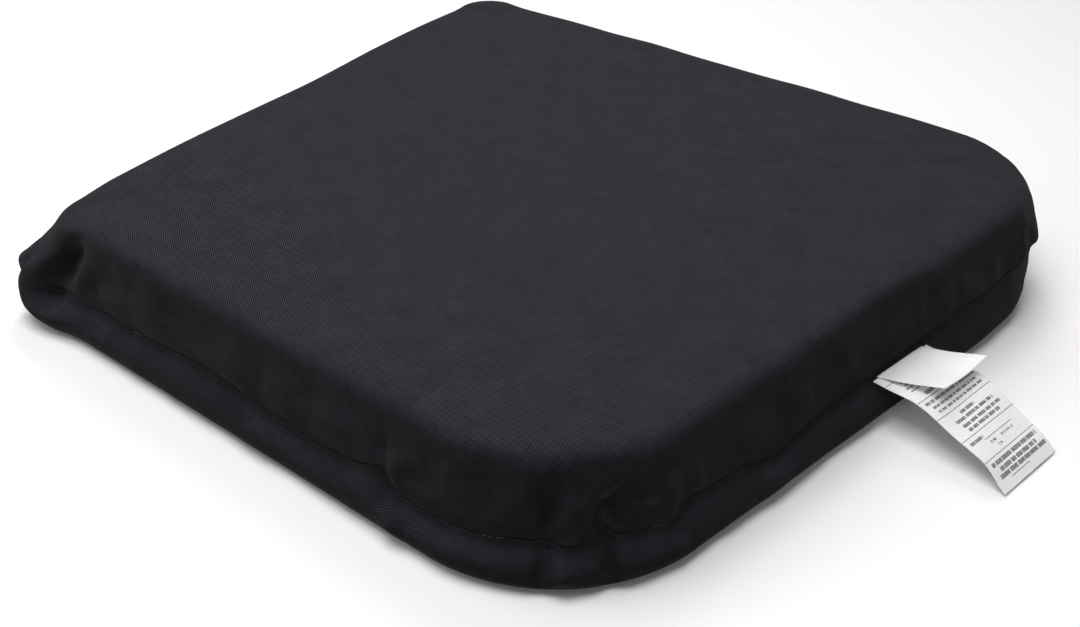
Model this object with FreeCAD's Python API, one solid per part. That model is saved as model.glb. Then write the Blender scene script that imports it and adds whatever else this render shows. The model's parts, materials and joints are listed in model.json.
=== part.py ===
"""Trapezoid seat cushion: a latex core in a two-panel twill cover with a side zip and sewn-in labels.

Millimetres. +Z is up. The origin is the middle of the flat underside.
The wide front edge faces -Y and the narrow rear edge faces +Y.
The labels hang from the -X side and the zip runs along the +X side.
"""
import FreeCAD
import Part
import math
import os

from FreeCAD import Placement, Rotation, Vector

# Cushion outline and section
FRONT_WIDTH = 457.0
REAR_WIDTH = 356.0
DEPTH = 406.0
THICKNESS = 66.0
SEAM_HEIGHT = 23.0
LABEL_SIDE_RADIUS = 78.0
ZIP_SIDE_RADIUS = 30.0
TOP_EDGE_RADIUS = 13.0
BOTTOM_EDGE_RADIUS = 10.0
CROWN_RADIUS = 9000.0

# Cover
FABRIC = 1.0
SEAM_ALLOWANCE = 8.0
OVERLOCK_REACH = 3.0
OVERLOCK_THREAD = 0.4
SEAM_THREAD = 0.5
SEAM_THREAD_INSET = 1.8
HEM_WIDTH = 7.5

# Core
CORE_GAP = 0.2
ALLOWANCE_GROOVE_HALF = 2.0
ALLOWANCE_GROOVE_DEPTH = 10.2

# Zip
OPENING_LENGTH = 332.0
OPENING_HALF = 5.5
TAPE_LENGTH = 340.0
TAPE_EDGE = 1.4
TAPE_WIDTH = 13.0
TAPE_THICKNESS = 0.6
TAPE_FACE = -2.0
COIL_HEIGHT = 2.2
COIL_HALF_WIDTH = 3.0
COIL_PITCH = 1.5
COIL_TOOTH = 1.05
COIL_TOOTH_REACH = 0.5
CHAIN_REAR = -154.0
CHAIN_TEETH = 206
STOP_SIZE = 2.4

# Slider and pull tab
SLIDER_LENGTH = 11.6
SLIDER_HALF_WIDTH = 4.7
SLIDER_REAR_HALF_WIDTH = 4.2
PLATE = 0.9
RUNNING_GAP = 0.3
RAIL_INNER = 3.4
POST_HALF_WIDTH = 0.9
BRIDGE_HALF_WIDTH = 1.1
BRIDGE_INNER = 1.15
BRIDGE_OUTER = 2.0
BAR_RADIUS = 0.65
TAB_LENGTH = 27.0
TAB_HALF_WIDTH = 3.4

# Labels
LABEL_MIDDLE_Y = -15.5
LABEL_THICKNESS = 0.35
LAW_LABEL_WIDTH = 44.5
CARE_LABEL_WIDTH = 37.0
LABEL_BEAD = 0.35
LABEL_AXIS_OUT = 0.6


def corner_data():
    """Arc centre, radius and the two outward side normals at each corner, counter-clockwise."""
    points = [
        Vector(-FRONT_WIDTH / 2, -DEPTH / 2, 0),
        Vector(FRONT_WIDTH / 2, -DEPTH / 2, 0),
        Vector(REAR_WIDTH / 2, DEPTH / 2, 0),
        Vector(-REAR_WIDTH / 2, DEPTH / 2, 0),
    ]
    radii = [LABEL_SIDE_RADIUS, ZIP_SIDE_RADIUS, ZIP_SIDE_RADIUS, LABEL_SIDE_RADIUS]
    corners = []
    for i, point in enumerate(points):
        before = (point - points[i - 1]).normalize()
        after = (points[(i + 1) % 4] - point).normalize()
        normal_in = Vector(before.y, -before.x, 0)
        normal_out = Vector(after.y, -after.x, 0)
        reach = radii[i] / (1 + normal_in.dot(normal_out))
        centre = point - (normal_in + normal_out) * reach
        corners.append((centre, radii[i], normal_in, normal_out))
    return corners


CORNERS = corner_data()


def outline(inset, height):
    """The cushion's rounded trapezoid, drawn inwards by inset, as a face at a height."""
    edges = []
    last = None
    first = None
    lift = Vector(0, 0, height)
    for centre, radius, normal_in, normal_out in CORNERS:
        reach = radius - inset
        start = centre + normal_in * reach + lift
        middle = centre + (normal_in + normal_out).normalize() * reach + lift
        end = centre + normal_out * reach + lift
        if last is None:
            first = start
        else:
            edges.append(Part.makeLine(last, start))
        edges.append(Part.Arc(start, middle, end).toShape())
        last = end
    edges.append(Part.makeLine(last, first))
    return Part.Face(Part.Wire(edges))


def slab(inset, low, high):
    """A straight-sided slab of the cushion outline between two heights."""
    return outline(inset, low).extrude(Vector(0, 0, high - low))


def ring(outer_inset, inner_inset, low, high):
    """A band that follows the cushion outline between two insets and two heights."""
    return slab(outer_inset, low, high).cut(slab(inner_inset, low - 1, high + 1))


def cushion_form(inset, low, top_drop):
    """The crowned cushion with rounded edges, drawn inwards by inset."""
    form = slab(inset, low, THICKNESS + 5)
    crown = Part.makeSphere(CROWN_RADIUS - top_drop, Vector(0, 0, THICKNESS - CROWN_RADIUS))
    form = form.common(crown)
    top_edges = []
    bottom_edges = []
    for edge in form.Edges:
        box = edge.BoundBox
        if box.ZMin > THICKNESS - 20:
            top_edges.append(edge)
        elif box.ZMax < low + 0.01:
            bottom_edges.append(edge)
    form = form.makeFillet(TOP_EDGE_RADIUS - inset, top_edges)
    bottom_edges = [e for e in form.Edges if e.BoundBox.ZMax < low + 0.01]
    return form.makeFillet(BOTTOM_EDGE_RADIUS - inset, bottom_edges)


def side_frame(side, middle_y):
    """Placement on a long side: local X along the seam, local Y outwards, local Z up from the seam."""
    taper = (FRONT_WIDTH - REAR_WIDTH) / 2 / DEPTH
    length = math.hypot(1, taper)
    outward = Vector(side / length, taper / length, 0)
    along = Vector(outward.y, -outward.x, 0)
    x = side * (FRONT_WIDTH + REAR_WIDTH) / 4 - side * taper * middle_y
    turn = Rotation(along, outward, Vector(0, 0, 1), "ZXY")
    return Placement(Vector(x, middle_y, SEAM_HEIGHT), turn)


def zip_frame():
    """The zip's frame, at the middle of the straight run between the two +X corners."""
    front = CORNERS[1][0] + CORNERS[1][3] * ZIP_SIDE_RADIUS
    rear = CORNERS[2][0] + CORNERS[2][2] * ZIP_SIDE_RADIUS
    return side_frame(1, (front.y + rear.y) / 2)


ZIP_FRAME = zip_frame()
LABEL_FRAME = side_frame(-1, LABEL_MIDDLE_Y)


def block(x0, x1, y0, y1, z0, z1):
    """A box between two corners, in a local frame."""
    return Part.makeBox(x1 - x0, y1 - y0, z1 - z0, Vector(x0, y0, z0))


def placed(shape, frame):
    """A copy of a local shape, moved to its frame."""
    moved = shape.copy()
    moved.Placement = frame.multiply(moved.Placement)
    return moved


def zip_block(*limits):
    """A box in the zip's frame."""
    return placed(block(*limits), ZIP_FRAME)


def foam_core():
    """Latex core, pressed in where the seam allowance and the zip lie against it."""
    inset = FABRIC + CORE_GAP
    core = cushion_form(inset, FABRIC, inset)
    groove = ring(
        -1,
        ALLOWANCE_GROOVE_DEPTH,
        SEAM_HEIGHT - ALLOWANCE_GROOVE_HALF,
        SEAM_HEIGHT + ALLOWANCE_GROOVE_HALF,
    )
    half = TAPE_LENGTH / 2 + 4
    tape_bed = zip_block(-half, half, -3.2, 5, -15.5, 15.5)
    slider_bed = zip_block(-half + 2, half - 2, -4.8, 5, -6.0, 6.0)
    return core.cut(groove).cut(tape_bed).cut(slider_bed)


def cover_shell():
    """The fabric skin as one closed shell, before it is parted at the seam."""
    return cushion_form(0, 0, 0).cut(cushion_form(FABRIC, FABRIC, FABRIC))


def zip_relief(low, high):
    """The stretch of the zip side where the seam allowance gives way to the zip."""
    half = TAPE_LENGTH / 2 + 2
    return zip_block(-half, half, -15, -FABRIC, low, high)


def cover_panel(shell, side):
    """One cover panel. side is +1 for the top panel and -1 for the bottom panel."""
    if side > 0:
        keep = slab(-1, SEAM_HEIGHT, THICKNESS + 10)
        low, high = SEAM_HEIGHT, SEAM_HEIGHT + FABRIC
    else:
        keep = slab(-1, -10, SEAM_HEIGHT)
        low, high = SEAM_HEIGHT - FABRIC, SEAM_HEIGHT
    skin = shell.common(keep)
    allowance = ring(FABRIC, FABRIC + SEAM_ALLOWANCE, low, high)
    allowance = allowance.cut(zip_relief(-5, 5))
    near, far = sorted((side * OPENING_HALF, side * (OPENING_HALF + HEM_WIDTH)))
    half = TAPE_LENGTH / 2
    hem = zip_block(-half, half, TAPE_FACE, -FABRIC, near, far)
    panel = skin.fuse([allowance, hem])
    half = OPENING_LENGTH / 2
    opening = zip_block(-half, half, -FABRIC, 2, -OPENING_HALF, OPENING_HALF)
    return panel.cut(opening).removeSplitter()


def seam_thread():
    """Lockstitch lines above and below the allowance, tied off at both ends of the zip."""
    near = SEAM_THREAD_INSET
    far = near + SEAM_THREAD
    reach = FABRIC + SEAM_THREAD
    upper = ring(near, far, SEAM_HEIGHT + FABRIC, SEAM_HEIGHT + reach)
    lower = ring(near, far, SEAM_HEIGHT - reach, SEAM_HEIGHT - FABRIC)
    relief = zip_relief(-5, 5)
    lines = [upper.cut(relief), lower.cut(relief)]
    end = TAPE_LENGTH / 2 + 2
    for sign in (-1, 1):
        x0, x1 = sorted((sign * (end - SEAM_THREAD), sign * end))
        lines.append(zip_block(x0, x1, -far, -near, -reach, reach))
    return lines[0].fuse(lines[1:]).removeSplitter()


def overlock_thread():
    """Overlocking wrapped round the raw edge of the two allowances."""
    edge = FABRIC + SEAM_ALLOWANCE
    reach = FABRIC + OVERLOCK_THREAD
    outer = ring(
        edge - OVERLOCK_REACH, edge + OVERLOCK_THREAD, SEAM_HEIGHT - reach, SEAM_HEIGHT + reach
    )
    inner = ring(
        edge - OVERLOCK_REACH - 1, edge, SEAM_HEIGHT - FABRIC, SEAM_HEIGHT + FABRIC
    )
    return outer.cut(inner).cut(zip_relief(-5, 5))


def mirrored(shape, side):
    """The shape itself for side +1, or its mirror image below the zip's centre line."""
    if side > 0:
        return shape
    return shape.mirror(Vector(0, 0, 0), Vector(0, 0, 1))


def zip_tape(side):
    """Woven tape under the hem, from beside the chain to beyond the topstitching."""
    half = TAPE_LENGTH / 2
    tape = block(
        -half, half, TAPE_FACE - TAPE_THICKNESS, TAPE_FACE, TAPE_EDGE, TAPE_EDGE + TAPE_WIDTH
    )
    return placed(mirrored(tape, side), ZIP_FRAME)


def zip_coil(side):
    """Coil sewn to the tape's edge, with turns that lie between those of the other coil."""
    shift = 0 if side > 0 else COIL_PITCH / 2
    tooth_half = COIL_TOOTH / 4
    root = COIL_TOOTH_REACH + 0.15
    x = CHAIN_REAR + shift
    points = [Vector(x - 2 * tooth_half, 0, COIL_HALF_WIDTH), Vector(x - 2 * tooth_half, 0, root)]
    for _ in range(CHAIN_TEETH):
        points.append(Vector(x - tooth_half, 0, root))
        points.append(Vector(x - tooth_half, 0, -COIL_TOOTH_REACH))
        points.append(Vector(x + tooth_half, 0, -COIL_TOOTH_REACH))
        points.append(Vector(x + tooth_half, 0, root))
        x += COIL_PITCH
    last = x - COIL_PITCH + 2 * tooth_half
    points.append(Vector(last, 0, root))
    points.append(Vector(last, 0, COIL_HALF_WIDTH))
    points.append(points[0])
    face = Part.Face(Part.makePolygon(points))
    face.translate(Vector(0, TAPE_FACE, 0))
    coil = face.extrude(Vector(0, COIL_HEIGHT, 0))
    return placed(mirrored(coil, side), ZIP_FRAME)


def chain_front():
    """Where the last turn of the chain ends, which is inside the closed slider."""
    return CHAIN_REAR + (CHAIN_TEETH - 1) * COIL_PITCH + COIL_PITCH / 2 + COIL_TOOTH / 2


SLIDER_FRONT = chain_front() + 2.6
BRIDGE_X = SLIDER_FRONT - SLIDER_LENGTH / 2 - 0.6
COIL_TOP = TAPE_FACE + COIL_HEIGHT
PLATE_TOP = COIL_TOP + RUNNING_GAP + PLATE
BAR_HEIGHT = PLATE_TOP + BRIDGE_INNER


def clip(x0, x1, z0, z1):
    """A stop crimped over a tape edge, in the zip's frame."""
    body = block(x0, x1, TAPE_FACE - TAPE_THICKNESS - 0.5, COIL_TOP + 0.7, z0, z1)
    slot = block(x0 - 1, x1 + 1, TAPE_FACE - TAPE_THICKNESS, TAPE_FACE, TAPE_EDGE, z1 + 1)
    return body.cut(slot)


def top_stops():
    """The pair of stops, one on each tape, in front of the closed slider."""
    x0 = SLIDER_FRONT + RUNNING_GAP
    stops = []
    for side in (1, -1):
        stop = clip(x0, x0 + STOP_SIZE, TAPE_EDGE - 0.5, TAPE_EDGE + 1.9)
        stops.append(placed(mirrored(stop, side), ZIP_FRAME))
    return Part.makeCompound(stops)


def bottom_stop():
    """The single stop that joins both tapes behind the chain."""
    x1 = CHAIN_REAR - 1.0
    x0 = x1 - 2 * STOP_SIZE
    body = clip(x0, x1, 0, COIL_HALF_WIDTH)
    return placed(body.fuse(mirrored(body, -1)).removeSplitter(), ZIP_FRAME)


def slider_plate(low, high):
    """A slider plate that narrows from the mouth to the rear, between two depths."""
    x1 = SLIDER_FRONT
    x0 = x1 - SLIDER_LENGTH
    wide = SLIDER_HALF_WIDTH
    narrow = SLIDER_REAR_HALF_WIDTH
    points = [
        Vector(x0, low, -narrow),
        Vector(x1 - 4, low, -wide),
        Vector(x1, low, -wide + 0.8),
        Vector(x1, low, wide - 0.8),
        Vector(x1 - 4, low, wide),
        Vector(x0, low, narrow),
    ]
    points.append(points[0])
    return Part.Face(Part.makePolygon(points)).extrude(Vector(0, high - low, 0))


def slider_body():
    """Die-cast slider: two plates, a dividing post, two side rails and the bridge for the tab."""
    bed = COIL_TOP + RUNNING_GAP
    floor = TAPE_FACE - TAPE_THICKNESS - RUNNING_GAP
    top = slider_plate(bed, PLATE_TOP)
    bottom = slider_plate(floor - PLATE, floor)
    rails = slider_plate(TAPE_FACE + RUNNING_GAP, bed)
    channel = block(
        SLIDER_FRONT - 20, SLIDER_FRONT + 1, floor, bed, -RAIL_INNER, RAIL_INNER
    )
    rails = rails.cut(channel)
    post = block(
        SLIDER_FRONT - 2.2, SLIDER_FRONT - 0.6, floor, bed, -POST_HALF_WIDTH, POST_HALF_WIDTH
    )
    half = BRIDGE_HALF_WIDTH
    centre = Vector(BRIDGE_X, BAR_HEIGHT, -half)
    arch = Part.makeCylinder(BRIDGE_OUTER, 2 * half, centre)
    legs = block(
        BRIDGE_X - BRIDGE_OUTER, BRIDGE_X + BRIDGE_OUTER, PLATE_TOP, BAR_HEIGHT, -half, half
    )
    eye = Part.makeCylinder(BRIDGE_INNER, 2 * half + 2, centre - Vector(0, 0, 1))
    inner = BRIDGE_INNER
    slot = block(BRIDGE_X - inner, BRIDGE_X + inner, PLATE_TOP - 5, BAR_HEIGHT, -5, 5)
    below = block(BRIDGE_X - 5, BRIDGE_X + 5, PLATE_TOP - 5, PLATE_TOP, -5, 5)
    bridge = arch.fuse(legs).cut(eye.fuse([slot, below]))
    body = top.fuse([bottom, rails, post, bridge]).removeSplitter()
    return placed(body, ZIP_FRAME)


def pull_tab():
    """Flat tab that lies back along the chain, hooked under the bridge by its bar."""
    eye_end = BRIDGE_OUTER + 0.5
    arm_inner = BRIDGE_HALF_WIDTH + 0.35
    wide = TAB_HALF_WIDTH
    neck = wide - 0.8
    thick = BAR_RADIUS
    points = [
        Vector(0, -thick, -neck),
        Vector(-TAB_LENGTH * 0.35, -thick, -neck),
        Vector(-TAB_LENGTH * 0.5, -thick, -wide),
        Vector(-TAB_LENGTH + wide, -thick, -wide),
    ]
    tip = Vector(-TAB_LENGTH, -thick, 0)
    upper = [Vector(p.x, p.y, -p.z) for p in reversed(points)]
    edges = [Part.makeLine(a, b) for a, b in zip(points, points[1:])]
    edges.append(Part.Arc(points[-1], tip, upper[0]).toShape())
    edges.extend(Part.makeLine(a, b) for a, b in zip(upper, upper[1:]))
    edges.append(Part.makeLine(upper[-1], points[0]))
    plate = Part.Face(Part.Wire(edges)).extrude(Vector(0, 2 * thick, 0))
    eye = block(-eye_end, thick + 1, -5, 5, -arm_inner, arm_inner)
    hang_hole = Part.makeCylinder(
        1.3, 5, Vector(-TAB_LENGTH + wide, -2.5, 0), Vector(0, 1, 0)
    )
    bar = Part.makeCylinder(BAR_RADIUS, 2 * neck, Vector(0, 0, -neck))
    tab = plate.cut(eye).cut(hang_hole).fuse(bar).removeSplitter()
    tab.translate(Vector(BRIDGE_X, BAR_HEIGHT, 0))
    return placed(tab, ZIP_FRAME)


def topstitch(side):
    """Row of thread that holds the hem to the tape, seen on the outside."""
    half = OPENING_LENGTH / 2
    z = OPENING_HALF + 2.4
    row = block(-half, half, 0, 0.35, z - 0.25, z + 0.25)
    return placed(mirrored(row, side), ZIP_FRAME)


def zip_bartacks():
    """Thread bars that lock both ends of the zip opening."""
    tacks = []
    for sign in (-1, 1):
        x = sign * (OPENING_LENGTH / 2 + 1.6)
        tacks.append(zip_block(x - 0.8, x + 0.8, 0, 0.6, -4.5, 4.5))
    return Part.makeCompound(tacks)


def strip(width, path):
    """A label's woven strip: a curved path in the outward plane, given a thickness and a width."""
    spine = Part.BSplineCurve()
    spine.interpolate([Vector(0, y, z) for y, z in path])
    first, last = spine.FirstParameter, spine.LastParameter
    half = LABEL_THICKNESS / 2
    steps = 2 * len(path)
    upper = []
    lower = []
    for i in range(steps + 1):
        t = first + (last - first) * i / steps
        point = spine.value(t)
        tangent = spine.tangent(t)[0]
        side = Vector(0, -tangent.z, tangent.y)
        upper.append(point + side * half)
        lower.append(point - side * half)
    top_curve = Part.BSplineCurve()
    top_curve.interpolate(upper)
    low_curve = Part.BSplineCurve()
    low_curve.interpolate(lower[::-1])
    edges = [
        top_curve.toShape(),
        Part.makeLine(upper[-1], lower[-1]),
        low_curve.toShape(),
        Part.makeLine(lower[0], upper[0]),
    ]
    solid = Part.Face(Part.Wire(edges)).extrude(Vector(width, 0, 0))
    solid.translate(Vector(-width / 2, 0, 0))
    return solid


def bead(x0, x1):
    """Rolled root edge of a label, on the line that both labels turn about."""
    return Part.makeCylinder(
        LABEL_BEAD, x1 - x0, Vector(x0, LABEL_AXIS_OUT, 0), Vector(1, 0, 0)
    )


def law_label():
    """Long label that leaves the seam level and bends down until its tip reaches the floor."""
    path = [
        (1.4, -0.5),
        (12, -0.9),
        (26, -2.0),
        (39, -5.2),
        (53, -10.8),
        (64, -16.6),
        (71.5, 0.6 - SEAM_HEIGHT),
    ]
    body = strip(LAW_LABEL_WIDTH, path)
    outer = LAW_LABEL_WIDTH / 2
    inner = CARE_LABEL_WIDTH / 2 + 0.5
    for x0, x1 in ((-outer, -inner), (inner, outer)):
        ear = block(x0, x1, LABEL_AXIS_OUT, 1.9, -0.65, 0.2)
        body = body.fuse([ear, bead(x0, x1)])
    return placed(body.removeSplitter(), LABEL_FRAME)


def care_label():
    """Short label sewn in above the long one, which lifts away from it."""
    path = [(LABEL_AXIS_OUT, 0), (10, 1.3), (20, 2.9), (31, 4.2)]
    half = CARE_LABEL_WIDTH / 2
    body = strip(CARE_LABEL_WIDTH, path).fuse(bead(-half, half))
    return placed(body.removeSplitter(), LABEL_FRAME)


def build():
    """Every node of the cushion by name."""
    shell = cover_shell()
    return {
        "foam_core": foam_core(),
        "cover_top_panel": cover_panel(shell, 1),
        "cover_bottom_panel": cover_panel(shell, -1),
        "seam_thread": seam_thread(),
        "overlock_thread": overlock_thread(),
        "zip_tape_upper": zip_tape(1),
        "zip_tape_lower": zip_tape(-1),
        "zip_coil_upper": zip_coil(1),
        "zip_coil_lower": zip_coil(-1),
        "zip_top_stops": top_stops(),
        "zip_bottom_stop": bottom_stop(),
        "zip_topstitch_upper": topstitch(1),
        "zip_topstitch_lower": topstitch(-1),
        "zip_bartacks": zip_bartacks(),
        "slider_body": slider_body(),
        "pull_tab": pull_tab(),
        "law_label": law_label(),
        "care_label": care_label(),
    }


os.makedirs("parts", exist_ok=True)
for name, shape in build().items():
    shape.exportStep(f"parts/{name}.step")
    box = shape.BoundBox
    print(
        name,
        shape.isValid(),
        len(shape.Solids),
        round(shape.Volume, 1),
        [round(v, 2) for v in (box.XMin, box.XMax, box.YMin, box.YMax, box.ZMin, box.ZMax)],
    )
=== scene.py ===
"""Trapezoid seat cushion in charcoal twill with two white sewn-in labels, on a white floor."""

import json
import math

import bmesh
import bpy
import numpy as np
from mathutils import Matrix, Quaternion, Vector
from mathutils.bvhtree import BVHTree
from mathutils.interpolate import poly_3d_calc

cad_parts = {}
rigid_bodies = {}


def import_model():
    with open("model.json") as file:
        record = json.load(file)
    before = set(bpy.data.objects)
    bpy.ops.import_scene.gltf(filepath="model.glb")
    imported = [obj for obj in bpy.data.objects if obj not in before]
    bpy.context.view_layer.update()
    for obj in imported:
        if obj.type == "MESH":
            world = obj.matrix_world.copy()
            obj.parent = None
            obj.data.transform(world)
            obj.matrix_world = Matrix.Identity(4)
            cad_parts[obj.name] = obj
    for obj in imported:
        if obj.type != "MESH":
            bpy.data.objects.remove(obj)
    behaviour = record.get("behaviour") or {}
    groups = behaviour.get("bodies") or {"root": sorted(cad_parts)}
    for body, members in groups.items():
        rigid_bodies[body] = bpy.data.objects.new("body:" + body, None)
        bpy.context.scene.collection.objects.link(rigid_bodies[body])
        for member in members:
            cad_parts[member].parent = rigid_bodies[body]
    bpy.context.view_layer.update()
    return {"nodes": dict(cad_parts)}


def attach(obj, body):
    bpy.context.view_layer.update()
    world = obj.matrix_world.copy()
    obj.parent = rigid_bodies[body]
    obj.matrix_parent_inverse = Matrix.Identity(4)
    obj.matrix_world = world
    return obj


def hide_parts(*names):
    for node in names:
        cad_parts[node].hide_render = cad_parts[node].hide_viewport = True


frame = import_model()
nodes = frame["nodes"]

MM = 0.001

# Outline of the cushion at its seam, as in the CAD frame (millimetres)
FRONT_WIDTH = 457.0
REAR_WIDTH = 356.0
DEPTH = 406.0
LABEL_RADIUS = 78.0
ZIP_RADIUS = 30.0
SEAM_Z = 23.0
TAPER = (FRONT_WIDTH - REAR_WIDTH) / 2 / DEPTH

# Mesh density: quads along the front or rear edge, and along a long side
ACROSS = 210
ALONG = 230


# -------------------- small helpers
def smooth(x, low, high):
    """0 below low, 1 above high, and an even curve in between."""
    t = np.clip((x - low) / (high - low), 0, 1)
    return t * t * (3 - 2 * t)


def bell(x, middle, width):
    return np.exp(-(((x - middle) / width) ** 2))


def waves(count, low, high, seed):
    """A smooth random curve over a length, made of sines with wavelengths from low to high."""
    r = np.random.default_rng(seed)
    length = np.exp(r.uniform(math.log(low), math.log(high), count))
    phase = r.uniform(0, 2 * math.pi, count)
    return lambda x: sum(
        np.sin(2 * math.pi * x / w + p) for w, p in zip(length, phase)
    ) / math.sqrt(count / 2)


def mesh_object(name, points, quads, uv=None, uv_name="cloth", shade=True):
    """An object from arrays of points (millimetres), faces and, per point, flat cloth coordinates."""
    mesh = bpy.data.meshes.new(name)
    points = np.asarray(points, float) * MM
    mesh.from_pydata(points.tolist(), [], [list(map(int, q)) for q in quads])
    if uv is not None:
        layer = mesh.uv_layers.new(name=uv_name)
        index = np.empty(len(mesh.loops), np.int32)
        mesh.loops.foreach_get("vertex_index", index)
        layer.data.foreach_set("uv", np.asarray(uv, np.float32)[index].ravel())
    if shade:
        mesh.polygons.foreach_set("use_smooth", np.ones(len(mesh.polygons), bool))
    mesh.update()
    obj = bpy.data.objects.new(name, mesh)
    bpy.context.scene.collection.objects.link(obj)
    return obj


def grid_faces(rows, columns, first=0, wrap=False):
    """Quads of a grid whose points are stored row by row."""
    last = columns if wrap else columns - 1
    i, j = np.meshgrid(np.arange(rows - 1), np.arange(last), indexing="ij")
    k = (j + 1) % columns
    a = first + i * columns + j
    b = first + i * columns + k
    return np.stack([a, b, b + columns, a + columns], -1).reshape(-1, 4)


# -------------------- outline
def corner_data():
    points = np.array(
        [
            (-FRONT_WIDTH / 2, -DEPTH / 2),
            (FRONT_WIDTH / 2, -DEPTH / 2),
            (REAR_WIDTH / 2, DEPTH / 2),
            (-REAR_WIDTH / 2, DEPTH / 2),
        ]
    )
    radii = [LABEL_RADIUS, ZIP_RADIUS, ZIP_RADIUS, LABEL_RADIUS]
    corners = []
    for i in range(4):
        before = points[i] - points[i - 1]
        after = points[(i + 1) % 4] - points[i]
        n1 = np.array([before[1], -before[0]]) / np.hypot(*before)
        n2 = np.array([after[1], -after[0]]) / np.hypot(*after)
        centre = points[i] - (n1 + n2) * radii[i] / (1 + n1 @ n2)
        a1 = math.atan2(n1[1], n1[0])
        a2 = a1 + math.acos(n1 @ n2)
        corners.append((centre, radii[i], a1, a2))
    return corners


CORNERS = corner_data()


def side_stations(i, count, near, far):
    """Points, outward normals and lengths from the middle of corner i to the middle of the next one.

    near and far are (extra density, reach) at the two ends, where the cloth has more detail."""
    c1, r1, a1, b1 = CORNERS[i]
    c2, r2, a2, b2 = CORNERS[(i + 1) % 4]
    mid1, mid2 = (a1 + b1) / 2, (a2 + b2) / 2
    start = c1 + r1 * np.array([math.cos(b1), math.sin(b1)])
    end = c2 + r2 * np.array([math.cos(a2), math.sin(a2)])
    arc1, arc2, line = r1 * (b1 - mid1), r2 * (mid2 - a2), np.hypot(*(end - start))
    total = arc1 + line + arc2
    x = np.linspace(0, total, 4001)
    weight = 1 + near[0] * bell(x, 0, near[1]) + far[0] * bell(x, total, far[1])
    cumulative = np.concatenate([[0], np.cumsum((weight[1:] + weight[:-1]) / 2)])
    at = np.interp(np.linspace(0, cumulative[-1], count + 1)[:-1], cumulative, x)
    angle = np.where(
        at < arc1,
        mid1 + at / r1,
        np.where(at > arc1 + line, a2 + (at - arc1 - line) / r2, b1),
    )
    normal = np.stack([np.cos(angle), np.sin(angle)], 1)
    on_line = start + (end - start) * np.clip((at - arc1) / line, 0, 1)[:, None]
    base = np.where(
        (at < arc1)[:, None],
        c1 + r1 * normal,
        np.where((at > arc1 + line)[:, None], c2 + r2 * normal, on_line),
    )
    return base, normal, at, total


# Extra mesh density and its reach at the four corners, counter-clockwise from the front label corner
DENSITY = [(1.2, 90), (1.0, 45), (2.5, 60), (3.2, 110)]


def stations():
    """The whole rim, counter-clockwise, with s = 0 at the middle of the front label corner."""
    base, normal, s, starts, offset = [], [], [], [], 0.0
    for i, count in enumerate((ACROSS, ALONG, ACROSS, ALONG)):
        b, n, at, total = side_stations(i, count, DENSITY[i], DENSITY[(i + 1) % 4])
        base.append(b)
        normal.append(n)
        s.append(at + offset)
        starts.append(offset)
        offset += total
    return np.concatenate(base), np.concatenate(normal), np.concatenate(s), starts, offset


BASE, NORMAL, S, CORNER_S, RIM = stations()
COUNT = len(S)


def along(middle):
    """Signed distance round the rim from a place on it, for every station."""
    return (S - middle + RIM / 2) % RIM - RIM / 2


def side_frame(side, middle_y):
    """Origin, direction along the seam and outward direction of a long side, as the CAD has them."""
    length = math.hypot(1, TAPER)
    outward = np.array([side / length, TAPER / length, 0])
    forward = np.array([outward[1], -outward[0], 0])
    x = side * (FRONT_WIDTH + REAR_WIDTH) / 4 - side * TAPER * middle_y
    return np.array([x, middle_y, SEAM_Z]), forward, outward


def zip_middle_y():
    front = CORNERS[1][0][1] + ZIP_RADIUS * math.sin(CORNERS[1][3])
    rear = CORNERS[2][0][1] + ZIP_RADIUS * math.sin(CORNERS[2][2])
    return (front + rear) / 2


ZIP = side_frame(1, zip_middle_y())
LABEL = side_frame(-1, -15.5)


# Signed distance along the zip for stations on its side, and how far the zip opening is open there
ZIP_X = (np.c_[BASE, np.full(COUNT, SEAM_Z)] - ZIP[0]) @ ZIP[1]
ON_ZIP = (BASE[:, 0] > 0) & (np.abs((np.c_[BASE, np.full(COUNT, SEAM_Z)] - ZIP[0]) @ ZIP[2]) < 8)
OPEN = np.where(ON_ZIP, 1 - smooth(np.abs(ZIP_X), 162.5, 167.5), 0.0)

# Where the four corners' middles are round the rim
FRONT_LABEL, FRONT_ZIP, REAR_ZIP, REAR_LABEL = CORNER_S

# -------------------- section of the cover
# (inset from the seam line, height) down the top panel and down the bottom panel
RING_Z = 64.2
TOP_SECTION = [
    (26, RING_Z), (20, 64.15), (14.5, 63.8), (10.2, 63.0), (6.9, 61.3), (4.7, 58.6), (3.3, 54.5),
    (2.0, 46), (0.6, 37), (-0.2, 30), (-0.35, 26.5), (-0.1, 24.4), (0.7, 23.4), (3.0, 23.12), (8.4, 23.1),
]
BOTTOM_SECTION = [
    (8.4, 22.9), (3.0, 22.88), (0.9, 22.6), (0.0, 21.4), (-1.0, 19.2), (-4.2, 16.0), (-6.6, 12.5), (-7.4, 9),
    (-7.0, 5.4), (-5.4, 2.6), (-2.6, 0.9), (2, 0.25), (10, 0.05), (26, 0.0),
]
# The same two sections beside the open zip, where each panel's edge is folded in over the tape
TOP_ZIP_SECTION = [
    (26, RING_Z), (20, 64.15), (14.5, 63.8), (10.2, 63.0), (6.9, 61.3), (4.7, 58.6), (3.2, 54.5),
    (1.6, 46), (0.4, 38), (0.0, 34), (0.0, 31), (0.1, 29.0), (0.6, 28.55), (1.4, 28.75), (1.9, 31),
]
BOTTOM_ZIP_SECTION = [
    (1.9, 15), (1.4, 17.25), (0.6, 17.45), (0.1, 17.0), (0.0, 15.2), (-0.1, 13.0), (-1.6, 10), (-2.4, 8),
    (-2.4, 5.4), (-1.4, 2.6), (0.4, 0.9), (3, 0.25), (10, 0.05), (26, 0.0),
]


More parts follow.
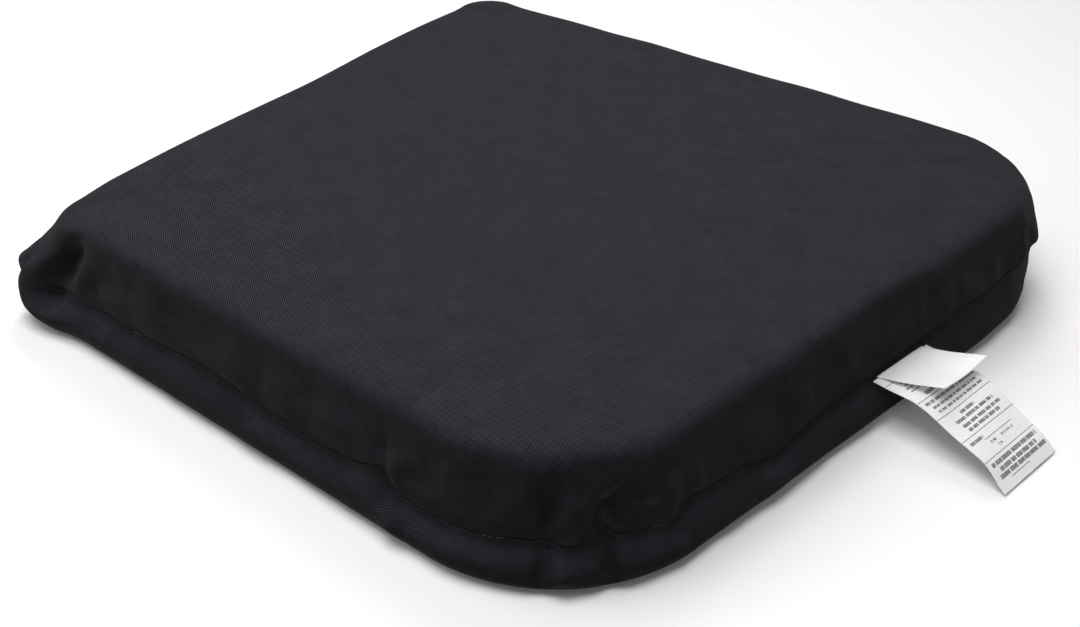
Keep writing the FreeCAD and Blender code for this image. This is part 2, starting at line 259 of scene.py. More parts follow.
def spline(points, count):
    """A smooth curve through the section's points, sampled more finely where they are close."""
    p = np.array(points, float)
    knots = np.arange(len(p))
    t = np.linspace(0, len(p) - 1, count)
    i = np.clip(t.astype(int), 0, len(p) - 2)
    f = (t - i)[:, None]
    before = np.maximum(i - 1, 0)
    after = np.minimum(i + 2, knots[-1])
    m1, m2 = (p[i + 1] - p[before]) / 2, (p[after] - p[i]) / 2
    return (
        (2 * f**3 - 3 * f**2 + 1) * p[i] + (f**3 - 2 * f**2 + f) * m1
        + (-2 * f**3 + 3 * f**2) * p[i + 1] + (f**3 - f**2) * m2
    )


# Folds in the walls: (place round the rim, half width, depth outwards, lowest and highest z, lean)
FOLDS = [
    (839.0, 8.5, -10.5, 14, 63, 0.42),
    (856.0, 9.0, 1.2, 8, 50, 0.35),
    (1077.0, 5.0, -2.6, 14, 52, -0.15),
    (1085.0, 6.0, 1.8, 6, 48, -0.10),
    (1154.5, 3.6, -4.0, 7, 54, 0.10),
    (1161.5, 4.0, 2.2, 7, 50, 0.10),
    (1171.5, 4.5, -2.4, 24, 46, 0.50),
    (1178.0, 3.0, 2.2, 25, 42, 0.0),
    (1185.0, 3.8, -2.4, 24, 44, -0.45),
    (1178.5, 3.8, -4.4, 5, 22, 0.0),
    (1208.0, 5.0, 1.6, 18, 48, 0.0),
    (1215.5, 4.0, -1.6, 8, 44, 0.0),
    (1277.0, 14.0, 1.2, 6, 40, 0.0),
    (1364.0, 30.0, -2.6, 27, 66, 0.0),
    (1512.0, 34.0, 1.6, 22, 46, 0.0),
    (1494.0, 3.8, -0.7, 16, 44, 0.15),
    (1504.0, 5.0, 0.6, 12, 44, 0.10),
    (1513.0, 4.0, -0.7, 12, 42, 0.10),
    (1526.0, 5.0, -0.9, 14, 40, 0.0),
    (404.0, 4.0, -2.2, 6, 44, -0.15),
    (417.0, 5.0, 1.8, 6, 44, 0.0),
    (436.0, 4.5, -3.6, 0, 52, 0.20),
    (446.0, 5.0, -0.8, 4, 46, 0.0),
    (806.0, 4.0, -3.0, 0, 50, -0.20),
]
# Rises and dips of the seam line: (place round the rim, reach before it, reach after it, rise).
# A short reach on one side is where the cloth is folded over and the seam steps.
SEAM_RISES = [
    (1480, 105, 100, 8.0),
    (426, 14, 14, 2.0),
    (818, 9, 14, 6.0),
    (955, 40, 40, 4.5),
    (1032, 9, 9, -2.0),
    (1075, 15, 4, 6.5),
    (1101, 14, 26, -3.0),
    (1164, 7, 7, -2.0),
    (1178, 3.6, 3.6, 5.5),
    (1209, 7, 5, -3.0),
    (1219, 6, 30, 3.2),
    (1277, 15, 16, -5.5),
]

wall_wave = waves(9, 26, 170, 3)
wall_wave_low = waves(9, 22, 130, 4)
pucker = waves(16, 8, 40, 5)
pucker_low = waves(16, 8, 40, 6)
pucker_swell = waves(5, 40, 170, 7)
ZIP_MIDDLE = (FRONT_ZIP + REAR_ZIP) / 2
zip_side = 1 - smooth(np.abs(along(ZIP_MIDDLE)), 182, 215)

# The lower wall bulges out all round, but less beside the zip, and it is tucked under at one corner
lifted = bell(along(FRONT_LABEL), 0, 62)
BULGE = (1 - 0.9 * lifted) * (1 - 0.55 * zip_side)
# Dog-ears where the seam stands out at the two tight corners: (place round the rim, half width, reach)
EARS = [(818.0, 21.0, 21.5), (428.0, 20.0, 11.0)]
# They start past the reach of the pull tab, which lies on the cloth beyond either end of the opening
BEYOND_TAB = smooth(np.abs(along(ZIP_MIDDLE)), 181, 193)
# The seam is pulled in deeper where the cloth gathers round the tight rear corner
NOTCH = 2.2 * bell(along(REAR_ZIP), 0, 26) + 1.4 * bell(along(FRONT_ZIP), 0, 26)


def seam_rise():
    """The seam line's rise at every station: its rises and dips added together."""
    total = np.zeros(COUNT)
    for place, before, after, rise in SEAM_RISES:
        gap = along(place)
        total += rise * np.exp(-((gap / np.where(gap < 0, before, after)) ** 2))
    return total


def corner_ease():
    """1 in the rounded corners, where flat cloth has to gather, and less on the straight runs."""
    ease = np.zeros(COUNT)
    for place, reach in ((FRONT_LABEL, 80), (FRONT_ZIP, 40), (REAR_ZIP, 42), (REAR_LABEL, 85)):
        ease = np.maximum(ease, bell(along(place), 0, reach))
    return ease


EASE = corner_ease()
RISE = (seam_rise() + 0.35 * waves(8, 18, 90, 8)(S)) * (1 - OPEN)


def field(points, count, low, high, seed):
    """A smooth random value at each point in space, from plane waves of length low to high."""
    r = np.random.default_rng(seed)
    total = 0
    for _ in range(count):
        way = r.normal(size=3)
        way *= 2 * math.pi / np.linalg.norm(way) / math.exp(r.uniform(math.log(low), math.log(high)))
        total = total + np.sin(points @ way + r.uniform(0, 2 * math.pi))
    return total / math.sqrt(count / 2)


# Soft hollows in the top near its corners: (x, y, reach, depth)
DENTS = [(163, 187, 24, 5.0), (-176, 150, 40, 1.2), (190, -170, 26, 2.0), (-186, -160, 44, 1.0)]


def settle(points):
    """Lets the top sink and swell a little, as cloth over foam does. The walls and the rest stay."""
    high = smooth(points[..., 2], 34, 60)
    change = 0.42 * field(points, 14, 55, 190, 21)
    for x, y, reach, depth in DENTS:
        away = np.hypot(points[..., 0] - x, points[..., 1] - y)
        change = change - depth * bell(away, 0, reach)
    points[..., 2] += change * high
    return points


def wall(section, zip_section, rows, wave, gather):
    """Points (rows, stations, 3) of one panel's wall, from its cap to the seam or back."""
    closed, opened = spline(section, rows), spline(zip_section, rows)
    inset = closed[:, :1] * (1 - OPEN) + opened[:, :1] * OPEN
    height = closed[:, 1:] * (1 - OPEN) + opened[:, 1:] * OPEN
    from_seam = np.abs(height - SEAM_Z)
    on_wall = smooth(height, 1, 9) * (1 - smooth(height, 48, 61))
    inset = np.where(inset < 0, inset * BULGE, inset)
    inset = inset + 4.0 * lifted * (1 - smooth(height, 2, SEAM_Z - 2))
    inset = inset + NOTCH * bell(from_seam, 0, 3.2)
    out = wave(S)[None] * 0.35 * on_wall * (1 - bell(from_seam, 0, 5)) * (1 - 0.95 * OPEN)
    strength = (0.05 + 0.20 * EASE) * (0.75 + 0.5 * pucker_swell(S)) * (1 - OPEN)
    out = out + gather(S)[None] * strength * np.exp(-from_seam / (6 + 7 * EASE)) * on_wall
    for place, width, depth, low, high, lean in FOLDS:
        away = along(place)[None] - lean * (height - SEAM_Z)
        fade = max(11, 0.55 * (high - low))
        window = smooth(height, low - 4, low + 5) * (1 - smooth(height, high + 4 - fade, high + 4))
        # The seam holds a narrow fold flatter than a wide one
        sewn = 1 - (0.75 if width < 6 else 0.5) * bell(from_seam, 0, 4.5)
        out = out + depth * bell(away, 0, width) * window * sewn
    ear = (1 - smooth(height, 20, 62)) * (0.48 + 0.45 * smooth(height, 0, 18) + 0.07 * smooth(height, 18, 26))
    for place, width, reach in EARS:
        out = out + reach * (bell(along(place), 0, width) * BEYOND_TAB)[None] * ear
    height = height + RISE[None] * bell(from_seam, 0, 9)
    inset = inset - out
    points = np.empty((rows, COUNT, 3))
    points[..., 0] = BASE[None, :, 0] - NORMAL[None, :, 0] * inset
    points[..., 1] = BASE[None, :, 1] - NORMAL[None, :, 1] * inset
    points[..., 2] = height
    return points


def cap(ring, crown):
    """Fills the rim of a panel with a grid of quads between its four sides. Returns points and quads.

    The rim's points come first, in station order. The crown rises from the rim without a crease."""
    a, b = ACROSS, ALONG
    idx = np.arange(COUNT)
    front = ring[np.r_[idx[0 : a + 1]]]
    right = ring[idx[a : a + b + 1]]
    back = ring[idx[a + b : 2 * a + b + 1]][::-1]
    left = ring[np.r_[idx[2 * a + b :], 0]][::-1]
    u = np.linspace(0, 1, a + 1)[None, :, None]
    v = np.linspace(0, 1, b + 1)[:, None, None]
    patch = (
        (1 - v) * front[None] + v * back[None] + (1 - u) * left[:, None] + u * right[:, None]
        - (1 - u) * (1 - v) * front[0] - u * (1 - v) * front[-1]
        - (1 - u) * v * back[0] - u * v * back[-1]
    )
    p, q = np.abs(2 * u[..., 0] - 1), np.abs(2 * v[..., 0] - 1)
    patch[..., 2] += crown * smooth(1 - p, 0, 0.9) * smooth(1 - q, 0, 0.9)
    index = -np.ones((b + 1, a + 1), int)
    index[0, :] = idx[0 : a + 1]
    index[:, a] = idx[a : a + b + 1]
    index[b, :] = idx[a + b : 2 * a + b + 1][::-1]
    index[:, 0] = np.r_[idx[2 * a + b :], 0][::-1]
    inner = index < 0
    index[inner] = COUNT + np.arange(inner.sum())
    quads = np.stack([index[:-1, :-1], index[:-1, 1:], index[1:, 1:], index[1:, :-1]], -1)
    return quads.reshape(-1, 4), patch[inner]


# -------------------- the cover as simulated cloth
# The two panels: section, section at the zip, rows of mesh, waves down the wall and puckers
TOP_SHAPE = (TOP_SECTION, TOP_ZIP_SECTION, 62, wall_wave, pucker)
BOTTOM_SHAPE = (BOTTOM_SECTION, BOTTOM_ZIP_SECTION, 48, wall_wave_low, pucker_low)
# Size of a remeshed quad, and how near two points are merged
VOXEL = 6.0
MERGE = 1.2
# The cloth is larger each way by this share than the form it starts from
SLACK = 0.02
# Points this low, or this near the seam, are held
HOLD = 4
PRESSURE = 4.0
FRAMES = 20
# Passes of smoothing that find the broad swell, the most a fold may move a point, and the shares of
# that which are kept below the seam and on the top
SWELL_PASSES = 24
REACH = 1.8
LOWER_SHARE = 0.3
TOP_SHARE = 0.3
# The proxy takes every third row and station of the two panels, and leaves out the rows at the seam
PROXY_TOP, PROXY_BOTTOM, PROXY_RIM = slice(0, 48, 3), slice(14, None, 3), slice(None, None, 3)


def closed_form():
    """The cushion's outer form as one closed mesh, for the simulation: rings down both walls."""
    upper = wall(*TOP_SHAPE)[PROXY_TOP, PROXY_RIM]
    lower = wall(*BOTTOM_SHAPE)[PROXY_BOTTOM, PROXY_RIM]
    rings = np.concatenate([upper, lower])
    rows, count = rings.shape[:2]
    faces = [list(q) for q in grid_faces(rows, count, wrap=True)[:, ::-1]]
    faces.append(list(range(count)))
    faces.append([rows * count - 1 - k for k in range(count)])
    return mesh_object("cover_proxy", rings.reshape(-1, 3), faces)


def coordinates(mesh):
    values = np.empty(len(mesh.vertices) * 3)
    mesh.vertices.foreach_get("co", values)
    return values.reshape(-1, 3) / MM


def relief(move, pairs):
    """The folds in a movement: what is left of it once its broad swell is taken away.

    The foam block keeps the cushion's height, so the cover wrinkles over it but doesn't balloon."""
    swell = move.copy()
    share = np.bincount(pairs.ravel(), minlength=len(move))[:, None] + 1.0
    for _ in range(SWELL_PASSES):
        total = swell.copy()
        for axis in range(3):
            total[:, axis] += np.bincount(pairs[:, 0], swell[pairs[:, 1], axis], len(move))
            total[:, axis] += np.bincount(pairs[:, 1], swell[pairs[:, 0], axis], len(move))
        swell = total / share
    return move - swell


def simulate():
    """Inflates a slightly slack cover that is held at its seam and under the cushion.

    Returns the remeshed cover at rest and how far each of its points moved."""
    scene = bpy.context.scene
    proxy = closed_form()
    remesh = proxy.modifiers.new("remesh", "REMESH")
    remesh.mode = "VOXEL"
    remesh.voxel_size = VOXEL * MM
    graph = bpy.context.evaluated_depsgraph_get()
    even = bpy.data.meshes.new_from_object(proxy.evaluated_get(graph))
    proxy.modifiers.clear()
    proxy.data = even
    # The remesh leaves a few points on top of each other, and cloth can't be solved with those.
    shape = bmesh.new()
    shape.from_mesh(even)
    bmesh.ops.remove_doubles(shape, verts=shape.verts, dist=MERGE * MM)
    bmesh.ops.dissolve_degenerate(shape, edges=shape.edges, dist=0.6 * MERGE * MM)
    shape.to_mesh(even)
    shape.free()
    start = coordinates(even)
    held = proxy.vertex_groups.new(name="held")
    height = start[:, 2]
    for index in np.flatnonzero((height < HOLD) | (np.abs(height - SEAM_Z) < HOLD)):
        held.add([int(index)], 1.0, "REPLACE")
    cloth = proxy.modifiers.new("cloth", "CLOTH")
    values = cloth.settings
    values.vertex_group_mass = "held"
    values.mass = 0.25
    values.tension_stiffness = 18
    values.compression_stiffness = 18
    values.shear_stiffness = 6
    values.bending_stiffness = 0.35
    values.shrink_min = -SLACK
    values.use_pressure = True
    values.uniform_pressure_force = PRESSURE
    values.effector_weights.gravity = 0
    values.quality = 5
    cloth.collision_settings.use_collision = False
    cloth.point_cache.frame_start = 1
    cloth.point_cache.frame_end = FRAMES
    for number in range(1, FRAMES + 1):
        scene.frame_set(number)
    graph = bpy.context.evaluated_depsgraph_get()
    end = coordinates(proxy.evaluated_get(graph).to_mesh())
    pairs = np.array([list(e.vertices) for e in even.edges])
    move = relief(end - start, pairs)
    length = np.linalg.norm(move, axis=1)
    move *= (REACH * np.tanh(length / REACH) / np.maximum(length, 1e-9))[:, None]
    faces = [list(p.vertices) for p in even.polygons]
    scene.frame_set(1)
    bpy.data.objects.remove(proxy)
    return start, faces, move


def billow(points, cover):
    """Moves a skin's points with the simulated cover, but not at the seam, the zip or underneath."""
    start, faces, move = cover
    tree = BVHTree.FromPolygons([Vector(p) for p in start], faces)
    shift = np.zeros_like(points)
    for i, p in enumerate(points):
        place, _, face, _ = tree.find_nearest(Vector(p))
        corners = faces[face]
        weights = poly_3d_calc([Vector(start[c]) for c in corners], place)
        shift[i] = np.array(weights) @ move[corners]
    free = smooth(np.abs(points[:, 2] - SEAM_Z), 3, 13) * smooth(points[:, 2], 2, 8)
    free *= np.where(points[:, 2] < SEAM_Z, LOWER_SHARE, 1.0)
    free *= 1 - (1 - TOP_SHARE) * smooth(points[:, 2], 42, 60)
    return points + shift * free[:, None]


cover_shape = simulate()


def panel(name, section, zip_section, rows, wave, gather, crown, top):
    """One cover panel: its cap, its wall and the edge that is turned in at the seam."""
    points = wall(section, zip_section, rows, wave, gather)
    if not top:
        points = points[::-1]
    run = np.zeros((rows, COUNT))
    run[1:] = np.cumsum(np.linalg.norm(np.diff(points, axis=0), axis=2), 0)
    cap_quads, inner = cap(points[0], crown)
    flat = points[0][None, :, :2] + NORMAL[None] * run[..., None]
    uv = np.concatenate([flat.reshape(-1, 2), inner[:, :2]]) * MM
    every = np.concatenate([points.reshape(-1, 3), inner])
    if cover_shape is not None:
        every = billow(every, cover_shape)
    if top:
        every = settle(every)
    cap_quads = np.where(cap_quads >= COUNT, cap_quads + (rows - 1) * COUNT, cap_quads)
    wall_quads = grid_faces(rows, COUNT, wrap=True)
    if top:
        wall_quads = wall_quads[:, ::-1]
    else:
        cap_quads = cap_quads[:, ::-1]
    return mesh_object(name, every, np.concatenate([cap_quads, wall_quads]), uv)


cover_top = panel("cover_top_cloth", *TOP_SHAPE, 2.0, True)
cover_bottom = panel("cover_bottom_cloth", *BOTTOM_SHAPE, 0.0, False)


# -------------------- material helpers
class Nodes:
    """Short calls that build a node tree."""

    def __init__(self, name):
        self.material = bpy.data.materials.new(name)
        self.material.use_nodes = True
        self.tree = self.material.node_tree
        self.shader = self.tree.nodes["Principled BSDF"]

    def add(self, kind, **values):
        node = self.tree.nodes.new(kind)
        for key, value in values.items():
            setattr(node, key, value)
        return node

    def plug(self, socket, value):
        if hasattr(value, "links"):
            self.tree.links.new(value, socket)
        else:
            socket.default_value = value

    def math(self, operation, a, b=0.0, c=0.0):
        node = self.add("ShaderNodeMath", operation=operation)
        for socket, value in zip(node.inputs, (a, b, c)):
            self.plug(socket, value)
        return node.outputs[0]

    def uv(self, name="cloth"):
        split = self.add("ShaderNodeSeparateXYZ")
        self.tree.links.new(self.add("ShaderNodeUVMap", uv_map=name).outputs[0], split.inputs[0])
        return split.outputs[0], split.outputs[1]

    def position(self):
        split = self.add("ShaderNodeSeparateXYZ")
        self.tree.links.new(self.add("ShaderNodeTexCoord").outputs["Object"], split.inputs[0])
        return split.outputs

    def normal_z(self):
        split = self.add("ShaderNodeSeparateXYZ")
        self.tree.links.new(self.add("ShaderNodeNewGeometry").outputs["Normal"], split.inputs[0])
        return split.outputs[2]

    def vector(self, x, y, z=0.0):
        node = self.add("ShaderNodeCombineXYZ")
        for socket, value in zip(node.inputs, (x, y, z)):
            self.plug(socket, value)
        return node.outputs[0]

    def noise(self, vector, scale, detail=2.0, rough=0.5):
        node = self.add("ShaderNodeTexNoise")
        if vector is not None:
            self.plug(node.inputs["Vector"], vector)
        node.inputs["Scale"].default_value = scale
        node.inputs["Detail"].default_value = detail
        node.inputs["Roughness"].default_value = rough
        return node.outputs["Fac"]

    def ramp(self, value, low, high, to_low=0.0, to_high=1.0):
        node = self.add("ShaderNodeMapRange")
        for socket, v in zip(node.inputs, (value, low, high, to_low, to_high)):
            self.plug(socket, v)
        return node.outputs[0]

    def mix(self, factor, a, b):
        node = self.add("ShaderNodeMix", data_type="RGBA")
        self.plug(node.inputs[0], factor)
        self.plug(node.inputs[6], a)
        self.plug(node.inputs[7], b)
        return node.outputs[2]

    def bump(self, height, distance, strength=1.0, after=None):
        node = self.add("ShaderNodeBump")
        node.inputs["Strength"].default_value = strength
        node.inputs["Distance"].default_value = distance
        self.plug(node.inputs["Height"], height)
        if after is not None:
            self.plug(node.inputs["Normal"], after)
        return node.outputs[0]

    def finish(self, color, rough, normal=None, **constants):
        self.plug(self.shader.inputs["Base Color"], color)
        self.plug(self.shader.inputs["Roughness"], rough)
        if normal is not None:
            self.plug(self.shader.inputs["Normal"], normal)
        for key, value in constants.items():
            self.shader.inputs[key.replace("_", " ")].default_value = value
        return self.material


def rgb(r, g, b):
    return (r, g, b, 1.0)


TWILL_ANGLE = math.radians(148.0)
TWILL_PITCH = 0.97 * MM


def twill_material():
    """Charcoal cotton twill: slanting ribs made of short yarn floats, with a faint mottle. Painted shade: the
    walls are painted darker and less ribbed than the top.
    """
    m = Nodes("charcoal_twill")
    u, v = m.uv()
    c, s = math.cos(TWILL_ANGLE), math.sin(TWILL_ANGLE)
    across = m.math("ADD", m.math("MULTIPLY", u, -s / TWILL_PITCH), m.math("MULTIPLY", v, c / TWILL_PITCH))
    wobble = m.noise(m.vector(u, v), 90.0, 2.0)
    across = m.math("ADD", across, m.math("MULTIPLY", wobble, 0.6))
    rib = m.math("ABSOLUTE", m.math("SINE", m.math("MULTIPLY", across, math.pi)))
    yarn = m.math("SINE", m.math("MULTIPLY", v, 2 * math.pi / (0.46 * MM)))
    float_height = m.math("ADD", rib, m.math("MULTIPLY", yarn, 0.12))
    slub = m.noise(m.vector(m.math("MULTIPLY", u, 0.12), v), 900.0, 2.0)
    slub_warp = m.noise(m.vector(u, m.math("MULTIPLY", v, 0.12)), 900.0, 2.0)
    mottle = m.noise(m.vector(u, v), 55.0, 3.0, 0.6)
    height = m.math("ADD", float_height, m.math("MULTIPLY", slub, 0.5))
    # Painted light and shade: the ribs' weight in the colour grows with how far the surface faces up, so the
    # top is painted lighter and more ribbed than the walls.
    level = m.math("ABSOLUTE", m.normal_z())
    rib_weight_painted_by_facing = m.math("ADD", m.math("MULTIPLY", level, 0.52), 0.12)
    shade = m.math("ADD", m.math("MULTIPLY", rib, rib_weight_painted_by_facing), m.math("MULTIPLY", slub, 0.27))
    shade = m.math("ADD", shade, m.math("MULTIPLY", slub_warp, 0.25))
    shade = m.math("ADD", shade, m.math("MULTIPLY", mottle, 0.3))
    crest = m.ramp(shade, 0.40, 1.20)
    color = m.mix(m.math("POWER", crest, 1.6), rgb(0.0045, 0.0043, 0.0060), rgb(0.0500, 0.0484, 0.0594))
    fuzz = m.noise(m.vector(u, v), 2600.0, 2.0)
    normal = m.bump(height, 0.00011, 0.7, m.bump(fuzz, 0.00006, 0.35))
    rough = m.ramp(mottle, 0.3, 0.7, 0.84, 0.95)
    return m.finish(
        color, rough, normal,
        Sheen_Weight=0.02, Sheen_Roughness=0.5, Specular_IOR_Level=0.08,
    )


TWILL = twill_material()
for obj in (cover_top, cover_bottom):
    obj.data.materials.append(TWILL)
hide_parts("cover_top_panel")
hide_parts("cover_bottom_panel")


# -------------------- foam core
def core_form():
    """The latex block inside the cover, with rounded edges. Its pin holes are not in the mesh; its material
    paints them as dark spots of shade.
    """
    insets = [34, 26, 20, 15, 12, 10.5, 9.6, 9.0, 8.6, 8.6, 8.8, 9.5, 11, 15, 22, 30]
    heights = [60.6, 60.2, 59.2, 57.0, 54, 49, 43, 36, 24, 14, 9, 5.5, 3.4, 2.2, 1.6, 1.4]
    rows = []
    for inset, height in zip(insets, heights):
        deep = inset + 5.0 * bell(height, SEAM_Z, 4) + 4.0 * lifted
        rows.append(np.c_[BASE - NORMAL * np.reshape(deep, (-1, 1)), np.full(COUNT, height)][::4])
    points = np.array(rows)
    count = points.shape[1]
    quads = grid_faces(len(rows), count, wrap=True)[:, ::-1]
    faces = [list(q) for q in quads]
    faces.append(list(range(count)))
    faces.append([len(rows) * count - 1 - k for k in range(count)])
    return settle(points.reshape(-1, 3)), faces


core_points, core_faces = core_form()
core = mesh_object("foam_core_block", core_points, core_faces)
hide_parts("foam_core")


def latex_material():
    m = Nodes("latex_foam")
    x, y, z = m.position()
    cell = m.add("ShaderNodeTexVoronoi", feature="F1")
    cell.inputs["Scale"].default_value = 900.0
    hole = m.add("ShaderNodeTexVoronoi", feature="F1")
    hole.inputs["Scale"].default_value = 45.0
    hole.inputs["Randomness"].default_value = 0.1
    pit = m.ramp(hole.outputs["Distance"], 0.10, 0.16)
    cloud = m.noise(None, 25.0, 3.0)
    color = m.mix(cloud, rgb(0.78, 0.72, 0.52), rgb(0.88, 0.84, 0.68))
    # Painted shade: the mesh has no pin holes, and dark brown is painted where shade would fall inside them.
    color = m.mix(pit, rgb(0.35, 0.30, 0.2), color)
    normal = m.bump(pit, 0.002, 0.8, m.bump(cell.outputs["Distance"], 0.0004, 0.5))
    return m.finish(color, m.ramp(cloud, 0, 1, 0.7, 0.9), normal)


core.data.materials.append(latex_material())

# -------------------- threads, tapes and labels as meshes
def to_space(place, points):
    """Points given along, out of and above a side's frame, as points of the cushion's frame."""
    points = np.asarray(points, float)
    up = np.array([0, 0, 1.0])
    level = place[0] + points[..., :1] * place[1] + points[..., 1:2] * place[2]
    return level + points[..., 2:] * up


def tube(path, radius, reference, sides=8):
    """Points and faces of a round thread along a path. reference is never along the path."""
    tangent = np.gradient(path, axis=0)
    tangent /= np.linalg.norm(tangent, axis=1)[:, None]
    across = np.cross(tangent, reference)
    across /= np.linalg.norm(across, axis=1)[:, None]
    up = np.cross(across, tangent)
    angle = np.arange(sides) * 2 * math.pi / sides
    radius = np.broadcast_to(radius, len(path))[:, None, None]
    ring = np.cos(angle)[None, :, None] * across[:, None] + np.sin(angle)[None, :, None] * up[:, None]
    points = (path[:, None] + radius * ring).reshape(-1, 3)
    faces = [list(q) for q in grid_faces(len(path), sides, wrap=True)]
    faces.append(list(range(sides))[::-1])
    faces.append(list(range(len(points) - sides, len(points))))
    return points, faces


def joined(name, pieces):
    """One object from many (points, faces)."""
    points, faces, first = [], [], 0
    for p, f in pieces:
        points.append(p)
        faces += [[first + int(k) for k in face] for face in f]
        first += len(p)
    return mesh_object(name, np.concatenate(points), faces)


def stitch(place, start, end, depth, radius):
    """One stitch from start to end in a side's frame, bowed outwards, its ends sunk by depth."""
    t = np.linspace(0, 1, 9)
    path = np.array(start)[None] * (1 - t[:, None]) + np.array(end)[None] * t[:, None]
    path[:, 1] -= depth * np.abs(2 * t - 1) ** 3
    size = radius * (0.72 + 0.28 * np.sin(math.pi * t) ** 0.5)
    outward = np.repeat(np.array([[0, 1.0, 0]]), len(t), 0)
    lean = to_space(place, outward) - place[0]
    return tube(to_space(place, path), size, lean)


ZIP_HALF = 165.0
STITCH_PITCH = 3.2
STITCH_LENGTH = 2.7
TOPSTITCH_Z = 7.9


def topstitch(name, z):
    """A row of topstitching, with each stitch a little out of line with the next."""
    r = np.random.default_rng(31 if z > 0 else 32)
    pieces = []
    for x in np.arange(-ZIP_HALF, ZIP_HALF - STITCH_LENGTH, STITCH_PITCH):
        a, b = r.normal(0, 0.07, 2)
        pieces.append(stitch(ZIP, (x, 0.16, z + a), (x + STITCH_LENGTH, 0.16, z + b), 0.4, 0.24))
    return joined(name, pieces)


def bartacks(name):
    """Dense zigzag tacks over the two ends of the zip, each with two threads running along it."""
    pieces = []
    for middle in (-167.6, 167.6):
        z = np.arange(-4.4, 4.45, 0.18)
        x = middle + 0.72 * np.where(np.arange(len(z)) % 2 == 0, 1, -1)
        path = np.stack([x, np.full(len(z), 0.36), z], 1)
        pieces.append(tube(to_space(ZIP, path), 0.17, np.repeat(ZIP[2][None], len(z), 0), 6))
        for side in (-0.25, 0.25):
            run = np.stack([np.full(12, middle + side), np.full(12, 0.2), np.linspace(-4.4, 4.4, 12)], 1)
            pieces.append(tube(to_space(ZIP, run), 0.2, np.repeat(ZIP[2][None], 12, 0), 6))
    return joined(name, pieces)


COIL_START = -154.0
COIL_PITCH = 1.5
COIL_TURNS = 206
COIL_MIDDLE = (-0.9, 1.25)
COIL_HALF = (1.1, 1.75)
COIL_WIRE = 0.32


def coil(name, side):
    """One zip coil: a flattened helix of wire, half a turn out of step with the other one."""
    steps = 12
    t = np.arange(COIL_TURNS * steps + 1) / steps
    angle = 2 * math.pi * t + (0 if side > 0 else math.pi)
    y = COIL_MIDDLE[0] + (COIL_HALF[0] - COIL_WIRE) * np.cos(angle)
    z = side * (COIL_MIDDLE[1] + (COIL_HALF[1] - COIL_WIRE) * np.sin(angle))
    middle = np.ones(len(t))
    axis = np.stack([COIL_START + COIL_PITCH * t, COIL_MIDDLE[0] * middle, side * COIL_MIDDLE[1] * middle], 1)
    path = np.stack([axis[:, 0], y, z], 1)
    reference = to_space(ZIP, path) - to_space(ZIP, axis)
    points, faces = tube(to_space(ZIP, path), COIL_WIRE, reference, 6)
    return joined(name, [(points, faces)])


def slab(name, front, back, uv):
    """A closed thin sheet from two matching grids of points, front and back."""
    rows, columns = front.shape[:2]
    count = rows * columns
    points = np.concatenate([front.reshape(-1, 3), back.reshape(-1, 3)])
    face = grid_faces(rows, columns)
    index = np.arange(count).reshape(rows, columns)
    loop = np.concatenate([index[0, :-1], index[:-1, -1], index[-1, :0:-1], index[:0:-1, 0]])
    rim = np.stack([loop, np.roll(loop, -1), np.roll(loop, -1) + count, loop + count], 1)[:, ::-1]
    quads = np.concatenate([face, face[:, ::-1] + count, rim])
    return mesh_object(name, points, quads, np.concatenate([uv.reshape(-1, 2)] * 2) * MM), len(face)


TAPE_FRONT, TAPE_BACK = -2.0, -2.6
TAPE_HALF = 170
TAPE_NEAR, TAPE_FAR = 1.4, 14.4


def tape(name, side):
    """A woven zip tape behind its hem."""
    x = np.linspace(-TAPE_HALF, TAPE_HALF, 2 * TAPE_HALF + 1)
    z = np.linspace(TAPE_NEAR, TAPE_FAR, 14) if side > 0 else np.linspace(-TAPE_FAR, -TAPE_NEAR, 14)
    grid_z, grid_x = np.meshgrid(z, x, indexing="ij")
    ripple = 0.05 * waves(6, 20, 90, 41)(grid_x)
    layers = [to_space(ZIP, np.stack([grid_x, np.full_like(grid_x, y) + ripple, grid_z], -1))
              for y in (TAPE_FRONT, TAPE_BACK)]
    return slab(name, layers[0], layers[1], np.stack([grid_x, grid_z], -1))[0]


LABEL_THICK = 0.35
LAW_HALF = 22.25
LAW_PATH = [(1.4, -0.5), (12, -0.9), (26, -2.0), (39, -5.2), (54, -10.6), (66, -16.4), (74.5, -22.3)]
CARE_HALF = 18.5
CARE_PATH = [(0.6, 0.0), (10, 1.3), (20, 2.9), (31, 4.2)]


def strip(name, half, path, cell, lift, drift):
    """A label: a curved strip out of the seam. lift(x, run) is how far it stands off its path, and
    drift is how far its free end has swung sideways."""
    fine = spline(path, 400)
    run = np.r_[0, np.cumsum(np.hypot(*np.diff(fine, axis=0).T))]
    v = np.linspace(0, run[-1], int(run[-1] / cell) + 1)
    line = np.stack([np.interp(v, run, fine[:, 0]), np.interp(v, run, fine[:, 1])], 1)
    slope = np.gradient(line, axis=0)
    slope /= np.linalg.norm(slope, axis=1)[:, None]
    up = np.stack([-slope[:, 1], slope[:, 0]], 1)
    x = np.linspace(half, -half, int(2 * half / cell) + 1)
    grid_v, grid_x = np.meshgrid(v, x, indexing="ij")
    off = lift(grid_x, grid_v)
    across = grid_x + drift * (grid_v / run[-1]) ** 1.3
    layers = []
    for thick in (LABEL_THICK / 2, -LABEL_THICK / 2):
        yz = line[:, None] + up[:, None] * (off + thick)[..., None]
        layers.append(to_space(LABEL, np.stack([across, yz[..., 0], yz[..., 1]], -1)))
    obj, faces = slab(name, layers[0], layers[1], np.stack([grid_x, grid_v], -1))
    return obj, grid_x, grid_v, faces, run[-1]


